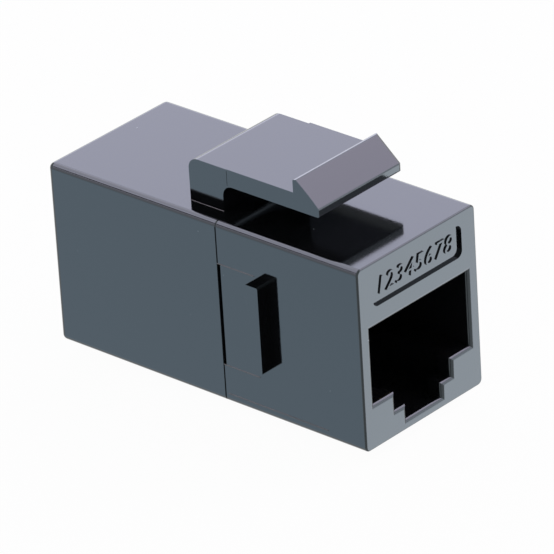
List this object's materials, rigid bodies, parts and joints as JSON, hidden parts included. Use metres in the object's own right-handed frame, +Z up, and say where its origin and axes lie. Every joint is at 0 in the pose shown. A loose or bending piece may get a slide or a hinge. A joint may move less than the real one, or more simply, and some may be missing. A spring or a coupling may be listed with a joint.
{
  "type": "ethernet socket",
  "caption": "Black snap-in panel coupler for network cabling: a modular socket at each end, a sprung latch on top and stop ribs on its sides.",
  "frame": {"origin": "middle of the bounding box's bottom: under the middle of the body, at the foot of the underside catch", "axes": "+Z up to the latch, -Y out of the front port, +Y out of the rear port, X across the width"},
  "size_m": [0.0168, 0.0334, 0.0228],
  "materials": {
    "housing": "black moulded plastic, satin gloss",
    "carrier": "black moulded plastic",
    "board": "green solder resist on glass-fibre laminate",
    "contact": "gold-plated spring wire"
  },
  "bodies": {
    "root": {"front_housing": "housing", "rear_housing": "housing", "circuit_board": "board", "front_contact_block": "carrier", "rear_contact_block": "carrier", "front_contact_1": "contact", "front_contact_2": "contact", "front_contact_3": "contact", "front_contact_4": "contact", "front_contact_5": "contact", "front_contact_6": "contact", "front_contact_7": "contact", "front_contact_8": "contact", "rear_contact_1": "contact", "rear_contact_2": "contact", "rear_contact_3": "contact", "rear_contact_4": "contact", "rear_contact_5": "contact", "rear_contact_6": "contact", "rear_contact_7": "contact", "rear_contact_8": "contact"}
  },
  "joints": []
}
